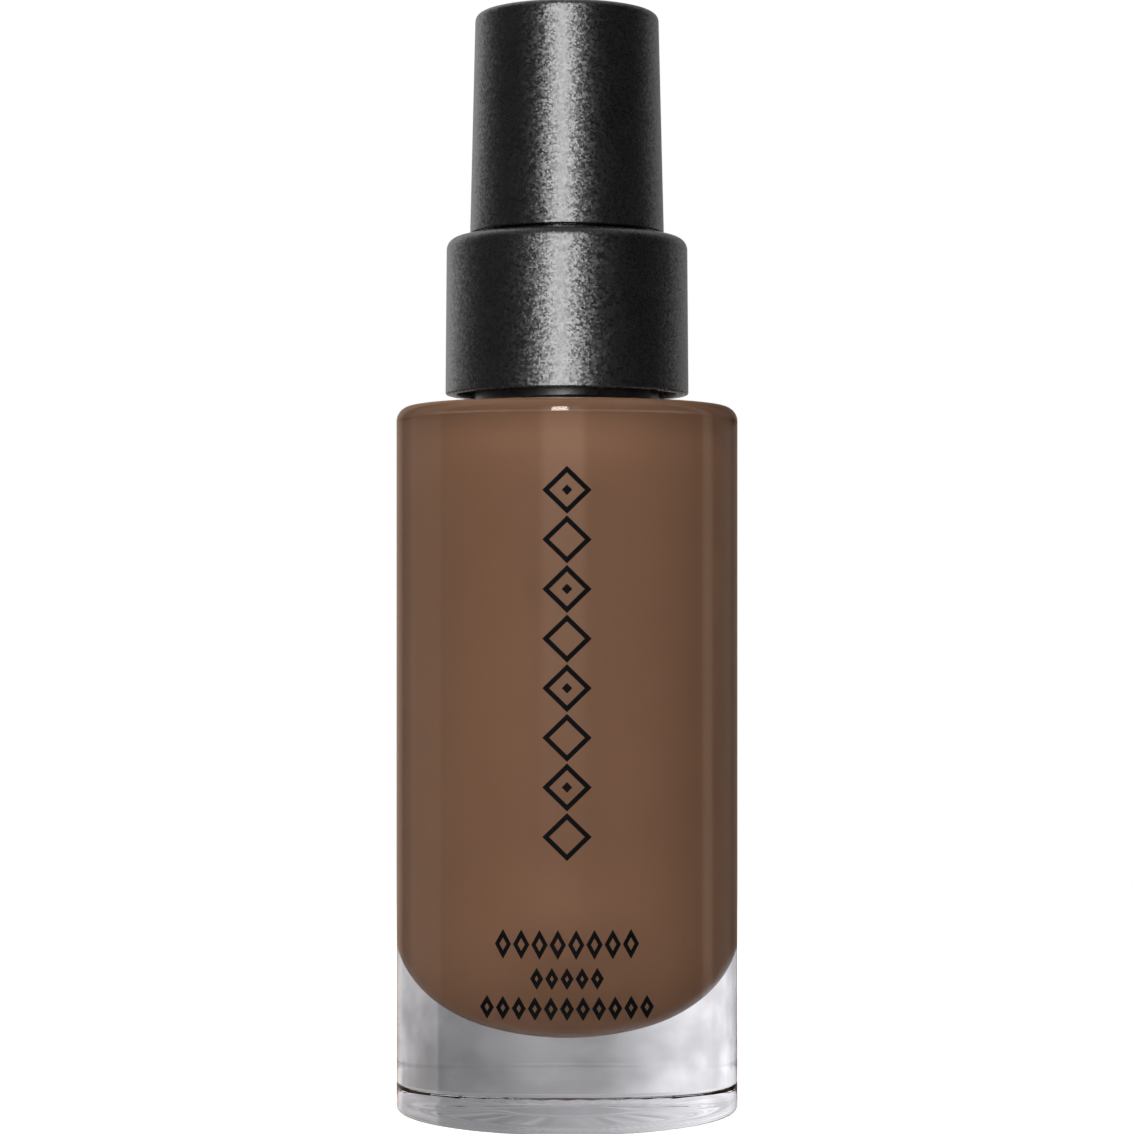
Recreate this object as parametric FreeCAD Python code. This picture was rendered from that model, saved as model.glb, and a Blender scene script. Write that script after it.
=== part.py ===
"""A 30 ml foundation bottle: thick clear glass, a dispensing pump on an 18 mm screw neck, and a pull-off overcap.

Millimetres, +Z up. The origin is the centre of the base on the surface that the bottle stands on, and the
nozzle and the printed front face -Y. Each function below makes one separate piece, in place, at rest: overcap
on, pump screwed down, head up. Heights are measured from the base. In an outline, the third number of a corner
is its radius.
"""
import FreeCAD
import Part
import math
import os

V = FreeCAD.Vector
AXIS = V(0, 0, 1)
ORIGIN = V(0, 0, 0)

# Glass
bottle_r = 18.5
shoulder_z = 76.1
base_corner_r = 0.5
shoulder_corner_r = 1.6
base_thickness = 8.5
punt_depth = 0.6
punt_r = 10.6
punt_roof_r = 5.0
punt_blend_r = 15.0
cavity_r = 12.5
bowl_floor_r = 17.0
bowl_corner_r = 10.0
roof_thickness = 1.1
roof_corner_r = 0.8
neck_height = 13.2
neck_r = 8.0
neck_bore_r = 5.0
fill_level = shoulder_z + 3.0

# Screw thread between neck and closure
thread_pitch = 3.175
thread_turns = 1.25
thread_start_z = shoulder_z + 5.2
neck_thread_r = 8.8
closure_thread_r = 8.25
thread_flank_gap = 1.15

# Fits
seat_gap = 0.02
slide_gap = 0.04
stroke = 3.2

# Stack on the neck
neck_top = shoulder_z + neck_height
stack_r = 7.6
gasket_thickness = 1.0
flange_thickness = 1.0
turret_flange = 0.8
gasket_z = neck_top + seat_gap
flange_z = gasket_z + gasket_thickness + seat_gap
turret_z = flange_z + flange_thickness + seat_gap
turret_top_z = turret_z + turret_flange
closure_web_z = turret_top_z + seat_gap
closure_top = closure_web_z + 1.05

# Closure and collar
closure_r = 10.0
closure_root_r = 9.05
closure_foot_z = shoulder_z + 0.5
closure_hole_r = 5.2
drive_rib_count = 24
drive_rib_r = 10.35
drive_rib_width = 0.6
collar_foot_z = shoulder_z + 1.3
collar_top = 94.4
collar_foot_r = 13.2
collar_top_r = 13.06
collar_wall = 1.2
collar_corner_r = 1.3
collar_web_z = closure_top + 0.1
collar_hole_r = 4.2
collar_rib_count = 12
collar_rib_r = 10.02
collar_rib_width = 0.8
cap_seat_r = 8.55
cap_seat_bore_r = 7.75
cap_seat_height = 3.1
snap_bead = 0.12

# Overcap
cap_foot_z = collar_top + 0.45
cap_top = 118.7
cap_foot_r = 10.53
cap_top_r = 9.94
cap_wall = 1.0
cap_roof = 1.1
cap_corner_r = 0.8
liner_wall = 0.6
liner_roof = 0.8
liner_foot_z = cap_foot_z + 0.3

# Pump cylinder and inlet valve
bore_r = 3.7
housing_r = 4.4
chamber_floor_z = 72.0
ball_r = 1.5
ball_bore_r = 2.1
ball_section_r = 3.1
throat_r = 0.9
throat_z = 68.0
ball_lift = 0.8
tail_r = 2.5
tail_foot_z = 60.5
tube_socket_z = 67.3
tube_r = 1.49
tube_bore_r = 0.9
tube_foot_z = base_thickness + 1.1
retainer_thickness = 1.0
vent_r = 0.35
vent_z = 86.9

# Stem, rod and piston
stem_r = 2.2
stem_bore_r = 1.0
stem_foot_z = 86.9
stem_top_z = 104.0
stem_stop_r = 2.75
rod_shaft_r = 1.5
poppet_r = 2.6
poppet_z = 84.0
spring_wire_r = 0.25
spring_coil_r = 2.3
spring_turns = 7

# Turret
guide_bore_r = stem_r + 2 * slide_gap
guide_r = 3.9
guide_top_z = 97.0
guide_foot_z = 89.9

# Actuator
head_foot_z = 98.2
head_top_z = 112.2
head_foot_r = 7.2
head_top_r = 6.95
head_wall = 0.95
core_r = 3.5
core_foot_z = 100.5
nozzle_z = 108.2
riser_r = 0.95
spout_r = 0.8
nozzle_r = 1.6
nozzle_bore_r = 0.6
nozzle_flange_r = 1.9
nozzle_tip_y = -7.9
nozzle_seat_y = -4.2

# Print on the front of the glass
ink_r = bottle_r + 0.01
ink_thickness = 0.05
motif_low_z = 28.2
motif_high_z = 69.0
motif_count = 8
motif_stroke = 0.5
motif_dot = 0.55
motif_gap = 0.16
caption_stroke = 0.42
caption_gap = 0.2
caption_rows = [  # height of its middle, length, height and count of each row of lozenges
    (19.65, 14.9, 3.1, 8),
    (16.15, 7.6, 2.3, 5),
    (13.05, 18.0, 2.5, 11),
]


def corner_edges(corners):
    """Closed outline through (x, z) corners; a third number rounds that corner with an arc of that radius."""
    cut = []
    count = len(corners)
    for i, corner in enumerate(corners):
        here = V(corner[0], 0, corner[1])
        before = V(corners[i - 1][0], 0, corners[i - 1][1])
        after = V(corners[(i + 1) % count][0], 0, corners[(i + 1) % count][1])
        if len(corner) < 3:
            cut.append((here, here, here))
            continue
        into = (before - here).normalize()
        out = (after - here).normalize()
        half = into.getAngle(out) / 2
        reach = corner[2] / math.tan(half)
        centre = here + (into + out).normalize() * (corner[2] / math.sin(half))
        middle = centre + (here - centre).normalize() * corner[2]
        cut.append((here + into * reach, middle, here + out * reach))
    edges = []
    for i, (start, middle, end) in enumerate(cut):
        if start.distanceToPoint(end) > 1e-6:
            edges.append(Part.Arc(start, middle, end).toShape())
        following = cut[(i + 1) % count][0]
        if end.distanceToPoint(following) > 1e-6:
            edges.append(Part.LineSegment(end, following).toShape())
    return edges


def revolve(edges):
    return Part.Face(Part.Wire(edges)).revolve(ORIGIN, AXIS, 360)


def lathe(corners):
    return revolve(corner_edges(corners))


def cylinder(radius, low_z, high_z):
    return Part.makeCylinder(radius, high_z - low_z, V(0, 0, low_z))


def tube(outer_r, inner_r, low_z, high_z):
    return cylinder(outer_r, low_z, high_z).cut(cylinder(inner_r, low_z - 1, high_z + 1))


def around(shape, count, first_angle=0.0):
    """Copies of shape turned about the Z axis, evenly spaced."""
    copies = []
    for i in range(count):
        copy = shape.copy()
        copy.rotate(ORIGIN, AXIS, first_angle + 360.0 * i / count)
        copies.append(copy)
    return copies


def radial_rib(inner_r, outer_r, width, low_z, high_z):
    return Part.makeBox(outer_r - inner_r, width, high_z - low_z, V(inner_r, -width / 2, low_z))


def cross(radius, blade, low_z, high_z):
    """A plus-shaped bar, trimmed to a round outline."""
    bar = Part.makeBox(2 * radius, blade, high_z - low_z, V(-radius, -blade / 2, low_z))
    return bar.fuse(around(bar, 1, 90)).common(cylinder(radius, low_z, high_z))


def helix_ridge(root_r, crest_r, root_width, crest_width, start_z):
    """One thread ridge of trapezoid section, its middle line starting at start_z on the +X side."""
    helix = Part.makeHelix(thread_pitch, thread_pitch * thread_turns, root_r)
    section = Part.makePolygon([
        V(root_r, 0, -root_width / 2),
        V(crest_r, 0, -crest_width / 2),
        V(crest_r, 0, crest_width / 2),
        V(root_r, 0, root_width / 2),
        V(root_r, 0, -root_width / 2),
    ])
    ridge = Part.Wire(helix).makePipeShell([section], True, True)
    ridge.translate(V(0, 0, start_z))
    return ridge


def cavity(top_z):
    """The space inside the glass: a bowl of two tangent arcs, a straight wall, a rounded roof and the neck bore."""
    floor_centre_z = base_thickness + bowl_floor_r
    corner_x = cavity_r - bowl_corner_r
    drop = math.sqrt((bowl_floor_r - bowl_corner_r) ** 2 - corner_x ** 2)
    corner_z = floor_centre_z - drop
    join_angle = math.atan2(corner_x, drop)
    wall_angle = (math.pi / 2 + join_angle) / 2

    def on_floor(angle):
        return V(bowl_floor_r * math.sin(angle), 0, floor_centre_z - bowl_floor_r * math.cos(angle))

    def on_corner(angle):
        return V(corner_x + bowl_corner_r * math.sin(angle), 0, corner_z - bowl_corner_r * math.cos(angle))

    roof_z = shoulder_z - roof_thickness
    wall_foot = V(cavity_r, 0, corner_z)
    wall_top = V(cavity_r, 0, roof_z - roof_corner_r)
    turn = roof_corner_r * math.sqrt(0.5)
    roof_turn = V(cavity_r - roof_corner_r + turn, 0, roof_z - roof_corner_r + turn)
    roof_rim = V(cavity_r - roof_corner_r, 0, roof_z)
    bore_foot = V(neck_bore_r, 0, roof_z)
    bore_top = V(neck_bore_r, 0, top_z)
    axis_top = V(0, 0, top_z)
    axis_foot = V(0, 0, base_thickness)
    return revolve([
        Part.Arc(axis_foot, on_floor(join_angle / 2), on_floor(join_angle)).toShape(),
        Part.Arc(on_floor(join_angle), on_corner(wall_angle), wall_foot).toShape(),
        Part.LineSegment(wall_foot, wall_top).toShape(),
        Part.Arc(wall_top, roof_turn, roof_rim).toShape(),
        Part.LineSegment(roof_rim, bore_foot).toShape(),
        Part.LineSegment(bore_foot, bore_top).toShape(),
        Part.LineSegment(bore_top, axis_top).toShape(),
        Part.LineSegment(axis_top, axis_foot).toShape(),
    ])


def glass_bottle():
    """Heavy glass with a shallow dished recess under the base, a flat shoulder and a right-hand threaded neck."""
    outside = lathe([
        (0, punt_depth),
        (punt_roof_r, punt_depth, punt_blend_r),
        (punt_r, 0, punt_blend_r),
        (bottle_r, 0, base_corner_r),
        (bottle_r, shoulder_z, shoulder_corner_r),
        (neck_r, shoulder_z, 0.8),
        (neck_r, neck_top, 0.5),
        (0, neck_top),
    ])
    thread = helix_ridge(neck_r - 0.1, neck_thread_r, 1.9, 0.8, thread_start_z)
    return outside.fuse(thread).cut(cavity(neck_top + 1))


def pump_envelope(clearance):
    """The outside of the pump below the shoulder, grown by clearance: cylinder, ball section, tail and dip tube."""
    low_z = tube_foot_z - clearance
    return lathe([
        (0, low_z),
        (tube_r + clearance, low_z),
        (tube_r + clearance, tail_foot_z - clearance),
        (tail_r + clearance, tail_foot_z - clearance),
        (tail_r + clearance, throat_z - 0.5 - clearance),
        (ball_section_r + clearance, throat_z - 0.5 - clearance),
        (ball_section_r + clearance, chamber_floor_z - 1.0 - clearance),
        (housing_r + clearance, chamber_floor_z - 1.0 - clearance),
        (housing_r + clearance, neck_top),
        (0, neck_top),
    ])


def foundation_fill():
    """The liquid as one closed solid that meets the glass, up to its level in the neck, clear of the pump."""
    return cavity(fill_level).cut(pump_envelope(0.06))


def inked(outline_faces):
    """Thin ink solids: flat shapes drawn on the XZ plane, wrapped on the front of the glass."""
    low_z = min(face.BoundBox.ZMin for face in outline_faces) - 1
    high_z = max(face.BoundBox.ZMax for face in outline_faces) + 1
    skin = tube(ink_r + ink_thickness, ink_r, low_z, high_z)
    return [face.extrude(V(0, -2 * bottle_r, 0)).common(skin) for face in outline_faces]


def flat(points):
    corners = [V(x, 0, z) for x, z in points]
    return Part.Face(Part.makePolygon(corners + corners[:1]))


def lozenge(x, z, half_width, half_height):
    return flat([(x + half_width, z), (x, z + half_height), (x - half_width, z), (x, z - half_height)])


def lozenge_outline(x, z, half_width, half_height, stroke):
    """A lozenge with a smaller one cut out of it, so that its four sides are as thick as stroke."""
    inner = 1 - stroke * math.hypot(half_width, half_height) / (half_width * half_height)
    return lozenge(x, z, half_width, half_height).cut(lozenge(x, z, half_width * inner, half_height * inner))


def print_motif():
    """An upright chain of lozenge outlines, every second one with a small solid lozenge in its middle."""
    half = (motif_high_z - motif_low_z) / motif_count / 2
    faces = []
    for i in range(motif_count):
        z = motif_low_z + half * (2 * i + 1)
        faces.append(lozenge_outline(0, z, half, half - motif_gap / 2, motif_stroke))
        if i % 2:
            faces.append(lozenge(0, z, motif_dot, motif_dot))
    return inked(faces)


def print_caption():
    """Three centred rows of narrow lozenge outlines under the motif."""
    faces = []
    for z, length, height, count in caption_rows:
        pitch = (length + caption_gap) / count
        for i in range(count):
            x = (i - (count - 1) / 2) * pitch
            faces.append(lozenge_outline(x, z, (pitch - caption_gap) / 2, height / 2, caption_stroke))
    return inked(faces)


def neck_gasket():
    return lathe([
        (housing_r + 0.1, gasket_z),
        (stack_r, gasket_z, 0.15),
        (stack_r, gasket_z + gasket_thickness, 0.15),
        (housing_r + 0.1, gasket_z + gasket_thickness),
    ])


def pump_housing():
    """Pump cylinder with its flange on the gasket, a cone seat for the ball and a tail that grips the dip tube."""
    top_z = flange_z + flange_thickness
    seat_top_z = throat_z + ball_bore_r - throat_r
    body = lathe([
        (bore_r, top_z, 0.15),
        (stack_r, top_z, 0.15),
        (stack_r, flange_z, 0.15),
        (housing_r, flange_z),
        (housing_r, chamber_floor_z - 1.0, 0.3),
        (ball_section_r, chamber_floor_z - 1.0),
        (ball_section_r, throat_z - 0.5, 0.2),
        (tail_r, throat_z - 0.5),
        (tail_r, tail_foot_z, 0.3),
        (tube_r + 0.01, tail_foot_z),
        (tube_r + 0.01, tube_socket_z),
        (throat_r, tube_socket_z),
        (throat_r, throat_z),
        (ball_bore_r, seat_top_z),
        (ball_bore_r, chamber_floor_z),
        (bore_r, chamber_floor_z),
    ])
    vent = Part.makeCylinder(vent_r, 2 * housing_r, V(0, 0, vent_z), V(1, 0, 0))
    return body.cut(vent)


def turret():
    """Flanged guide that snaps over the cylinder, stops the stem at the top of its travel and guides it."""
    return lathe([
        (guide_bore_r, guide_foot_z),
        (stem_stop_r + 0.25, guide_foot_z),
        (stem_stop_r + 0.25, guide_foot_z - 1.0),
        (bore_r - slide_gap, guide_foot_z - 1.0, 0.15),
        (bore_r - slide_gap, turret_z),
        (stack_r, turret_z, 0.1),
        (stack_r, turret_top_z, 0.15),
        (guide_r, turret_top_z, 0.4),
        (guide_r, guide_top_z, 0.3),
        (guide_bore_r, guide_top_z, 0.2),
    ])


def ball_retainer():
    """Slotted disc on the chamber floor: the spring stands on it and the ball cannot rise past it."""
    low_z = chamber_floor_z + seat_gap
    disc = cylinder(bore_r - slide_gap, low_z, low_z + retainer_thickness)
    hub = cylinder(ball_bore_r - 0.35, chamber_floor_z - 0.4, low_z)
    opening = cross(1.95, 0.9, chamber_floor_z - 2, low_z + 2)
    return disc.fuse(hub).cut(opening)


def inlet_ball():
    """Steel ball on the 45 degree seat cone."""
    centre_z = throat_z - throat_r + ball_r * math.sqrt(2) + 0.01
    return Part.makeSphere(ball_r, V(0, 0, centre_z))


def dip_tube():
    """Straight tube to just above the bowl's floor, its foot cut on the slant."""
    top_z = tube_socket_z - 0.1
    straight = tube(tube_r, tube_bore_r, tube_foot_z, top_z)
    slant = Part.makeBox(8, 8, 4, V(-4, -4, -4))
    slant.rotate(ORIGIN, V(0, 1, 0), 35)
    slant.translate(V(0, 0, tube_foot_z + 1.1))
    return straight.cut(slant)


def return_spring():
    """Coil spring from the ball retainer to the poppet: round wire along quarter-turn arcs of a helix."""
    low_z = chamber_floor_z + 2 * seat_gap + retainer_thickness + spring_wire_r
    high_z = poppet_z - seat_gap - spring_wire_r
    pitch = (high_z - low_z) / spring_turns
    quarters = 4 * spring_turns

    def on_helix(quarter):
        angle = quarter * math.pi / 2
        return V(spring_coil_r * math.cos(angle), spring_coil_r * math.sin(angle), low_z + pitch * quarter / 4)

    arcs = [Part.Arc(on_helix(i), on_helix(i + 0.5), on_helix(i + 1)).toShape() for i in range(quarters)]
    along = V(0, 2 * math.pi * spring_coil_r, pitch)
    section = Part.Wire(Part.Circle(on_helix(0), along, spring_wire_r).toShape())
    return Part.Wire(arcs).makePipeShell([section], True, False)


def piston():
    """Two-lipped sliding seal: its lips run in the cylinder and its bore seals on the rod."""
    lip_r = bore_r - slide_gap
    foot = stem_foot_z - 2.1
    return lathe([
        (rod_shaft_r + 0.06, foot + 0.2),
        (2.4, foot + 0.25),
        (lip_r, foot),
        (lip_r, foot + 0.5),
        (3.2, foot + 1.1, 0.4),
        (3.2, foot + 2.8, 0.4),
        (lip_r, foot + 3.3),
        (lip_r, foot + 3.8),
        (2.9, foot + 3.4),
        (stem_r + 0.05, foot + 3.4),
        (stem_r + 0.05, foot + 1.95),
        (rod_shaft_r + 0.06, foot + 1.95),
    ])


def stem():
    """Hollow stem with the stop collar that holds the head down under the turret."""
    return lathe([
        (stem_bore_r, stem_foot_z),
        (stem_r, stem_foot_z, 0.1),
        (stem_r, guide_foot_z - 1.2),
        (stem_stop_r, guide_foot_z - 1.2, 0.1),
        (stem_stop_r, guide_foot_z - 0.05, 0.1),
        (stem_r, guide_foot_z - 0.05),
        (stem_r, stem_top_z, 0.2),
        (stem_bore_r, stem_top_z),
    ])


def piston_rod():
    """Fluted rod pressed into the stem, with the poppet that closes the piston's bore and holds the spring."""
    head = lathe([
        (0, poppet_z - 2.4),
        (1.55, poppet_z - 2.4, 0.4),
        (1.55, poppet_z),
        (poppet_r, poppet_z, 0.1),
        (poppet_r, poppet_z + 0.6, 0.2),
        (rod_shaft_r, poppet_z + 0.9),
        (0, poppet_z + 0.9),
    ])
    shaft = cross(rod_shaft_r, 0.8, poppet_z + 0.5, stem_foot_z - 0.05)
    spigot = cross(stem_bore_r - seat_gap, 0.55, stem_foot_z - 0.5, stem_foot_z + 3.9)
    return head.fuse([shaft, spigot]).removeSplitter()


def along_front(radius, near_y, far_y):
    """Cylinder along -Y at nozzle height, from near_y out to far_y."""
    return Part.makeCylinder(radius, near_y - far_y, V(0, near_y, nozzle_z), V(0, -1, 0))


def actuator_core():
    """Inside of the head: stem socket, product channel to the nozzle, top disc and four stiffening fins."""
    disc_z = head_top_z - 2.6
    disc_r = head_top_r - head_wall - 0.12
    pillar = cylinder(core_r, core_foot_z, disc_z + 0.5)
    disc = cylinder(disc_r, disc_z, disc_z + 0.9)
    boss = along_front(2.2, 0, -disc_r + 0.25)
    fins = around(radial_rib(core_r - 0.3, disc_r - 0.1, 0.8, core_foot_z + 3, disc_z + 0.2), 4, 45)
    solid = pillar.fuse([disc, boss] + fins)
    socket = cylinder(stem_r + 0.01, core_foot_z - 1, stem_top_z + 0.05)
    riser = cylinder(riser_r, stem_top_z, nozzle_z + 0.3)
    spout = along_front(spout_r, 0, nozzle_tip_y)
    nozzle_socket = along_front(nozzle_r + 0.01, nozzle_seat_y, nozzle_tip_y)
    return solid.cut(socket.fuse([riser, spout, nozzle_socket])).removeSplitter()


def actuator_shell():
    """Outer cover of the head: a tapered cup with a dished finger pad and the nozzle window."""
    slope = (head_foot_r - head_top_r) / (head_top_z - head_foot_z)
    ceiling_z = head_top_z - 1.65
    ceiling_r = head_foot_r - slope * (ceiling_z - head_foot_z) - head_wall
    outside = lathe([
        (0, head_foot_z),
        (head_foot_r, head_foot_z, 0.2),
        (head_top_r, head_top_z, 0.6),
        (5.9, head_top_z, 0.4),
        (4.2, head_top_z - 0.5, 4.0),
        (0, head_top_z - 0.6),
    ])
    inside = lathe([
        (0, head_foot_z - 1),
        (head_foot_r - head_wall + slope, head_foot_z - 1),
        (ceiling_r, ceiling_z),
        (0, ceiling_z),
    ])
    return outside.cut(inside).cut(along_front(nozzle_r + 0.12, 0, -2 * head_foot_r))


def nozzle_insert():
    """Outlet tip pressed into the core, with a rounded flange outside the cover."""
    flange_y = nozzle_tip_y + 0.8
    tip = lathe([
        (nozzle_bore_r, -nozzle_tip_y, 0.2),
        (nozzle_flange_r, -nozzle_tip_y, 0.3),
        (nozzle_flange_r, -flange_y, 0.1),
        (nozzle_r, -flange_y),
        (nozzle_r, -nozzle_seat_y + 0.02),
        (nozzle_bore_r, -nozzle_seat_y + 0.02),
    ])
    tip.rotate(ORIGIN, V(1, 0, 0), 90)
    tip.translate(V(0, 0, nozzle_z))
    return tip


def screw_closure():
    """Threaded closure that clamps the pump to the neck, with drive ribs for the collar."""
    body = lathe([
        (closure_root_r, closure_foot_z, 0.2),
        (closure_r, closure_foot_z, 0.25),
        (closure_r, closure_top, 0.5),
        (closure_hole_r, closure_top, 0.2),
        (closure_hole_r, closure_web_z),
        (closure_root_r, closure_web_z, 0.3),
    ])
    start_z = thread_start_z - thread_flank_gap
    thread = helix_ridge(closure_root_r + 0.1, closure_thread_r, 1.5, 0.6, start_z)
    rib = radial_rib(closure_r - 0.2, drive_rib_r, drive_rib_width, collar_foot_z + 3, closure_top - 0.8)
    return body.fuse([thread] + around(rib, drive_rib_count)).removeSplitter()


def collar_shroud():
    """Outer collar: a drafted shell with a rounded top edge, a seat ring for the overcap and inner ribs."""
    seat_top = collar_top + cap_seat_height
    shell = lathe([
        (collar_foot_r - collar_wall, collar_foot_z, 0.2),
        (collar_foot_r, collar_foot_z, 0.25),
        (collar_top_r, collar_top, collar_corner_r),
        (cap_seat_r, collar_top, 0.2),
        (cap_seat_r, seat_top, 0.3),
        (cap_seat_bore_r, seat_top, 0.25),
        (cap_seat_bore_r, collar_top, 0.3),
        (collar_hole_r, collar_top, 0.3),
        (collar_hole_r, collar_web_z),
        (collar_top_r - collar_wall, collar_web_z, 0.6),
    ])
    bead_z = seat_top - 1.0
    bead = lathe([
        (cap_seat_r - 0.2, bead_z - 0.45),
        (cap_seat_r, bead_z - 0.3),
        (cap_seat_r + snap_bead, bead_z, 0.15),
        (cap_seat_r, bead_z + 0.3),
        (cap_seat_r - 0.2, bead_z + 0.45),
    ])
    rib = radial_rib(collar_rib_r, collar_foot_r - collar_wall + 0.15, collar_rib_width,
                     collar_foot_z + 1.8, collar_web_z + 0.3)
    half_step = 180.0 / drive_rib_count
    return shell.fuse([bead] + around(rib, collar_rib_count, half_step)).removeSplitter()


def cap_slope():
    return (cap_foot_r - cap_top_r) / (cap_top - cap_foot_z)


def overcap_shell():
    """Tapered outer cap with a flat top and a small rounded edge."""
    slope = cap_slope()
    ceiling_z = cap_top - cap_roof
    return lathe([
        (cap_foot_r - cap_wall, cap_foot_z, 0.15),
        (cap_foot_r, cap_foot_z, 0.2),
        (cap_top_r, cap_top, cap_corner_r),
        (0, cap_top),
        (0, ceiling_z),
        (cap_foot_r - cap_wall - slope * (ceiling_z - cap_foot_z), ceiling_z, 0.5),
    ])


def overcap_liner():
    """Inner cup pressed into the cap; its bead clicks over the collar's seat ring."""
    slope = cap_slope()

    def liner_r(z):
        return cap_foot_r - cap_wall - 0.02 - slope * (z - cap_foot_z)

    top_z = cap_top - cap_roof - 0.02
    ceiling_z = top_z - liner_roof
    cup = lathe([
        (liner_r(liner_foot_z) - liner_wall, liner_foot_z, 0.25),
        (liner_r(liner_foot_z), liner_foot_z, 0.1),
        (liner_r(top_z), top_z, 0.6),
        (0, top_z),
        (0, ceiling_z),
        (liner_r(ceiling_z) - liner_wall, ceiling_z, 0.4),
    ])
    bead_z = collar_top + cap_seat_height - 1.7
    wall_r = liner_r(bead_z) - liner_wall
    bead = lathe([
        (wall_r + 0.2, bead_z - 0.4),
        (wall_r, bead_z - 0.25),
        (cap_seat_r + snap_bead + 0.04, bead_z, 0.1),
        (wall_r, bead_z + 0.25),
        (wall_r + 0.2, bead_z + 0.4),
    ])
    return cup.fuse(bead).removeSplitter()


PIECES = [
    glass_bottle, foundation_fill, print_motif, print_caption,
    neck_gasket, pump_housing, turret, ball_retainer, inlet_ball, dip_tube, return_spring,
    piston, stem, piston_rod, actuator_core, actuator_shell, nozzle_insert,
    screw_closure, collar_shroud, overcap_shell, overcap_liner,
]


def main():
    os.makedirs("parts", exist_ok=True)
    for make in PIECES:
        made = make()
        solids = [s for shape in made for s in shape.Solids] if isinstance(made, list) else made.Solids
        whole = solids[0] if len(solids) == 1 else Part.makeCompound(solids)
        whole.exportStep("parts/" + make.__name__ + ".step")
        volume = sum(s.Volume for s in solids)
        valid = all(s.isValid() and s.isClosed() for s in solids)
        print(f"{make.__name__}: {len(solids)} solids, {volume / 1000:.4f} ml, valid {valid}")


main()
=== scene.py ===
"""Looks of a 30 ml foundation bottle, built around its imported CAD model. Metres, +Z up, front towards -Y."""
import math

import bmesh
import bpy
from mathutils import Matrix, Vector, noise


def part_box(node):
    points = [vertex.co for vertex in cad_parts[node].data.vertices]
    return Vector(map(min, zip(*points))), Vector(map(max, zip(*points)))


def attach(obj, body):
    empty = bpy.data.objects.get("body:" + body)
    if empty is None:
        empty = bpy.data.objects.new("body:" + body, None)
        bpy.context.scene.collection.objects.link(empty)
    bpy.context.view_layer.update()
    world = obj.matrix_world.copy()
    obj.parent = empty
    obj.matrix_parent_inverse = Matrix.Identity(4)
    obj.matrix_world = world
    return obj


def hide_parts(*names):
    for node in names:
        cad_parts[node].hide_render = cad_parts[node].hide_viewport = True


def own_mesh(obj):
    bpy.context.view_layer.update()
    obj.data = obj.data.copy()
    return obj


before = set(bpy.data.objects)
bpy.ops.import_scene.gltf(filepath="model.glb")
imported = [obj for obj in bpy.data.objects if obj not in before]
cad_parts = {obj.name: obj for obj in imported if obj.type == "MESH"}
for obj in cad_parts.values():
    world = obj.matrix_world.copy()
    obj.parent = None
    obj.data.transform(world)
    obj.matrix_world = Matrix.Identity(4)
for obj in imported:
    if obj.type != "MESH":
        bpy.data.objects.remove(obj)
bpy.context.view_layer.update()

MM = 0.001
WELD = 0.001 * MM  # points closer than this are joined

# Camera: level, a little below the middle of the whole object, with the view window moved up to frame it
CAMERA_DISTANCE = 341 * MM
CAMERA_HEIGHT = 54.5 * MM
CAMERA_LENS = 99.6
CAMERA_SENSOR = 36.0
CAMERA_SHIFT_UP = 0.0344

# Places and sizes, taken from the frame where a box gives them
bottle_low, bottle_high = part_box("glass_bottle")
fill_low, fill_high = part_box("foundation_fill")
closure_low, closure_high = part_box("screw_closure")
collar_low, collar_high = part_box("collar_shroud")
shell_low, shell_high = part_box("overcap_shell")
liner_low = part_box("overcap_liner")[0]
head_low, head_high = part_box("actuator_shell")
nozzle_low, nozzle_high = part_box("nozzle_insert")
motif_low, motif_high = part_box("print_motif")

BOTTLE_R = bottle_high.x
SHOULDER_Z = closure_low.z - 0.5 * MM  # the closure stops just above the shoulder
NECK_TOP = bottle_high.z
NECK_R = 8.0 * MM
NECK_BORE_R = 5.0 * MM
NECK_PLAIN = 3.0 * MM  # height of the neck's foot, below the thread
CAVITY_R = fill_high.x
BOWL_FOOT = fill_low.z
WETTING = 0.02 * MM  # how far the liquid reaches into the glass
STIPPLE_IN, STIPPLE_OUT = 15.6 * MM, 17.6 * MM  # ring of dimples under the base


# ---------------------------------------------------------------- meshes

def rounded(corners, closed=True, steps=8, support=0.04 * MM):
    """Outline points through (r, z) corners. A third number rounds a corner, between two support points."""
    outline = []
    count = len(corners)
    for i, corner in enumerate(corners):
        here = Vector(corner[:2])
        if len(corner) < 3 or (not closed and i in (0, count - 1)):
            outline.append(here)
            continue
        into = (Vector(corners[i - 1][:2]) - here).normalized()
        out = (Vector(corners[(i + 1) % count][:2]) - here).normalized()
        half = into.angle(out) / 2
        reach = corner[2] / math.tan(half)
        centre = here + (into + out).normalized() * (corner[2] / math.sin(half))
        start = here + into * reach - centre
        end = here + out * reach - centre
        turn = math.pi - 2 * half
        outline.append(here + into * (reach + support))
        for k in range(steps + 1):
            t = k / steps
            blend = start * math.sin((1 - t) * turn) + end * math.sin(t * turn)
            outline.append(centre + blend / math.sin(turn))
        outline.append(here + out * (reach + support))
    return [(p.x, p.y) for p in outline]


def shade_smooth(mesh, sharp_angle=35):
    mesh.polygons.foreach_set("use_smooth", [True] * len(mesh.polygons))
    mesh.set_sharp_from_angle(angle=math.radians(sharp_angle))


def add_object(name, mesh):
    made = bpy.data.objects.new(name, mesh)
    bpy.context.scene.collection.objects.link(made)
    return made


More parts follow.
